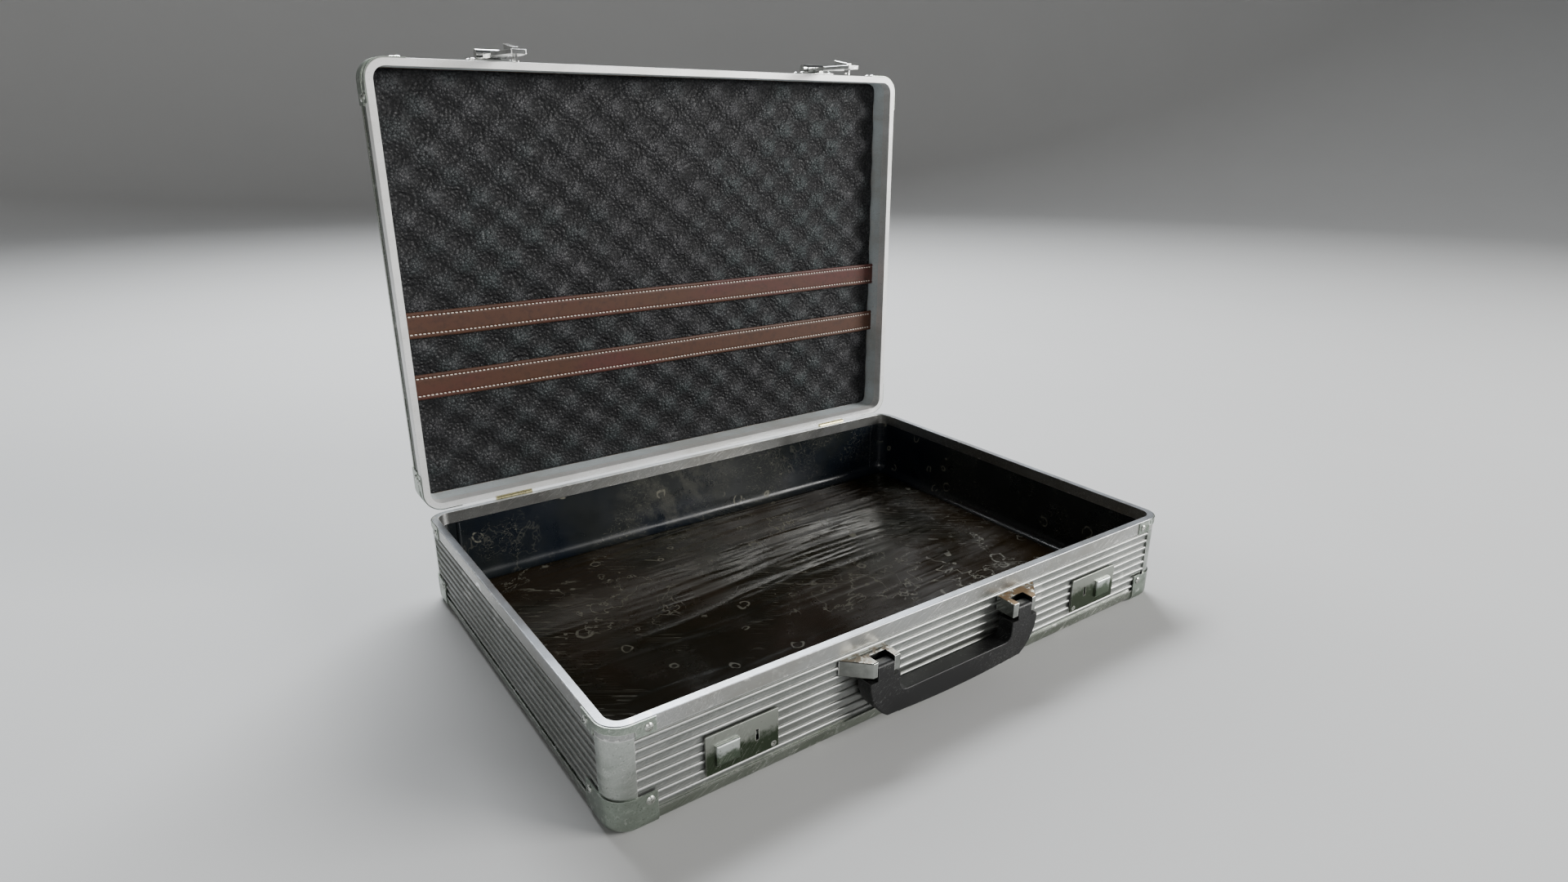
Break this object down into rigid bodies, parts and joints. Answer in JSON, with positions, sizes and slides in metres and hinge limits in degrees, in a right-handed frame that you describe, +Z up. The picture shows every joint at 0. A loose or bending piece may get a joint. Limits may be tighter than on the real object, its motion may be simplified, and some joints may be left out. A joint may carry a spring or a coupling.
{
  "type": "attache case",
  "caption": "Slim hinged aluminium attache case with ribbed walls, corner caps, sliding-button locks, drop handle, vinyl-lined base and foam-lined lid with straps.",
  "frame": {"origin": "centre of the underside that the case lies on", "axes": "+X to the right facing the handle, +Y towards the hinge side, +Z up"},
  "size_m": [0.461, 0.3646, 0.3976],
  "materials": {
    "ribbed_aluminium": "satin ribbed sheet",
    "corner_post_aluminium": "satin extrusion, scuffed",
    "rim_aluminium": "satin extrusion with bright worn edges",
    "edge_aluminium": "satin extrusion, scuffed",
    "panel_aluminium": "satin sheet",
    "cap_steel": "worn plated steel",
    "screw_steel": "bright plated",
    "hardboard": "plain hardboard",
    "vinyl_lining": "glossy creased vinyl",
    "brass_hinge": "bright",
    "chrome_bracket": "polished, rust on top",
    "handle_plastic": "satin moulded, scratched",
    "lock_plate_steel": "satin, stained",
    "lock_case_steel": "plain",
    "lock_button_steel": "polished by use",
    "band_aluminium": "bare, dull",
    "foam": "convoluted foam with a pebbled skin",
    "strap_leather": "brown with pale stitching",
    "chrome_hasp": "polished"
  },
  "bodies": {
    "base": {"base_back_panel": "ribbed_aluminium", "base_bottom_panel": "panel_aluminium", "base_corner_caps": "cap_steel", "base_corner_posts": "corner_post_aluminium", "base_corner_screws": "screw_steel", "base_edge_trim": "edge_aluminium", "base_floor_board": "hardboard", "base_front_panel": "ribbed_aluminium", "base_left_panel": "ribbed_aluminium", "base_liner": "vinyl_lining", "base_right_panel": "ribbed_aluminium", "base_rim_clips": "cap_steel", "base_rim_frame": "rim_aluminium", "base_wall_boards": "hardboard", "bracket_screws": "screw_steel", "handle_bracket_left": "chrome_bracket", "handle_bracket_right": "chrome_bracket", "handle_pins": "screw_steel", "hinge_base_leaves": "brass_hinge", "hinge_base_rivets": "brass_hinge", "hinge_pins": "brass_hinge", "lock_case_left": "lock_case_steel", "lock_case_right": "lock_case_steel", "lock_plate_left": "lock_plate_steel", "lock_plate_right": "lock_plate_steel", "lock_screws": "screw_steel", "lock_spring_left": "lock_case_steel", "lock_spring_right": "lock_case_steel"},
    "lid": {"hasp_base_left": "chrome_hasp", "hasp_base_right": "chrome_hasp", "hasp_pin_left": "screw_steel", "hasp_pin_right": "screw_steel", "hasp_rivets": "chrome_hasp", "hinge_lid_leaves": "brass_hinge", "hinge_lid_rivets": "brass_hinge", "lid_back_panel": "ribbed_aluminium", "lid_backing_board": "hardboard", "lid_corner_caps": "cap_steel", "lid_corner_posts": "corner_post_aluminium", "lid_corner_screws": "screw_steel", "lid_edge_trim": "edge_aluminium", "lid_foam": "foam", "lid_front_panel": "ribbed_aluminium", "lid_left_panel": "ribbed_aluminium", "lid_right_panel": "ribbed_aluminium", "lid_rim_clips": "cap_steel", "lid_rim_frame": "rim_aluminium", "lid_top_panel": "ribbed_aluminium", "lid_wall_band": "band_aluminium", "lid_wall_boards": "hardboard", "strap_lower": "strap_leather", "strap_upper": "strap_leather"},
    "handle": {"handle_grip": "handle_plastic"},
    "left_button": {"lock_button_left": "lock_button_steel"},
    "right_button": {"lock_button_right": "lock_button_steel"},
    "left_hasp": {"hasp_left": "chrome_hasp"},
    "right_hasp": {"hasp_right": "chrome_hasp"}
  },
  "joints": [
    {"name": "lid_hinge", "type": "hinge", "parent": "base", "child": "lid", "pos_m": [0, 0.1612, 0.0667], "axis": [1, 0, 0], "range_deg": [0, 90]},
    {"name": "handle_swing", "type": "hinge", "parent": "base", "child": "handle", "pos_m": [0, -0.1695, 0.048], "axis": [-1, 0, 0], "range_deg": [0, 90]},
    {"name": "left_button_slide", "type": "slide", "parent": "base", "child": "left_button", "axis": [-1, 0, 0], "range_m": [0, 0.003], "stiffness_N_per_m": 400, "springref_m": -0.002, "deforming": ["lock_spring_left"]},
    {"name": "left_hasp_swing", "type": "hinge", "parent": "lid", "child": "left_hasp", "pos_m": [-0.1412, 0.173, 0.3928], "axis": [-1, 0, 0], "range_deg": [0, 100]},
    {"name": "right_button_slide", "type": "slide", "parent": "base", "child": "right_button", "axis": [1, 0, 0], "range_m": [0, 0.003], "stiffness_N_per_m": 400, "springref_m": -0.002, "deforming": ["lock_spring_right"]},
    {"name": "right_hasp_swing", "type": "hinge", "parent": "lid", "child": "right_hasp", "pos_m": [0.1412, 0.173, 0.3928], "axis": [-1, 0, 0], "range_deg": [0, 100]}
  ]
}
